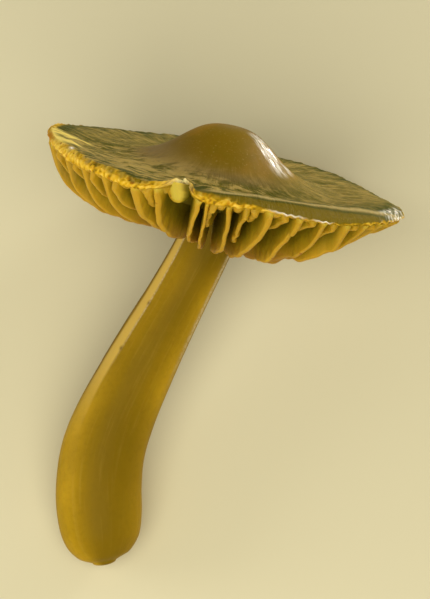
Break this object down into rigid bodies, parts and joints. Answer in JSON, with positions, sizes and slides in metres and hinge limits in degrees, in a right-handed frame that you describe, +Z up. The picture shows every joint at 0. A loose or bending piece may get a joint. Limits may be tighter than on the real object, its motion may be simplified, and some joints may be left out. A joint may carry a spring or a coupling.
{
  "type": "parrot waxcap",
  "caption": "Mature parrot waxcap as picked: flat, wavy cap with a broad umbo and a split margin, thick broad gills and a leaning, flared stem; it lies on its far margin and heel.",
  "frame": {"origin": "middle of the box, on the surface that the mushroom lies on", "axes": "+Z up off that surface; +Y along the mushroom from its heel to its umbo; +X to the right of the mushroom as it grew"},
  "size_m": [0.0355, 0.0464, 0.0318],
  "materials": {
    "cap_skin": "wet, glossy olive-brown skin with fine radial fibrils, yellow at the margin",
    "gill_flesh": "waxy yellow-ochre flesh, bright on the edges and dark olive-ochre between the gills",
    "stem_flesh": "slimy, satin ochre flesh with faint lengthwise fibres and a paler side"
  },
  "bodies": {
    "root": {"cap": "cap_skin", "gills": "gill_flesh", "stem": "stem_flesh"}
  },
  "joints": []
}
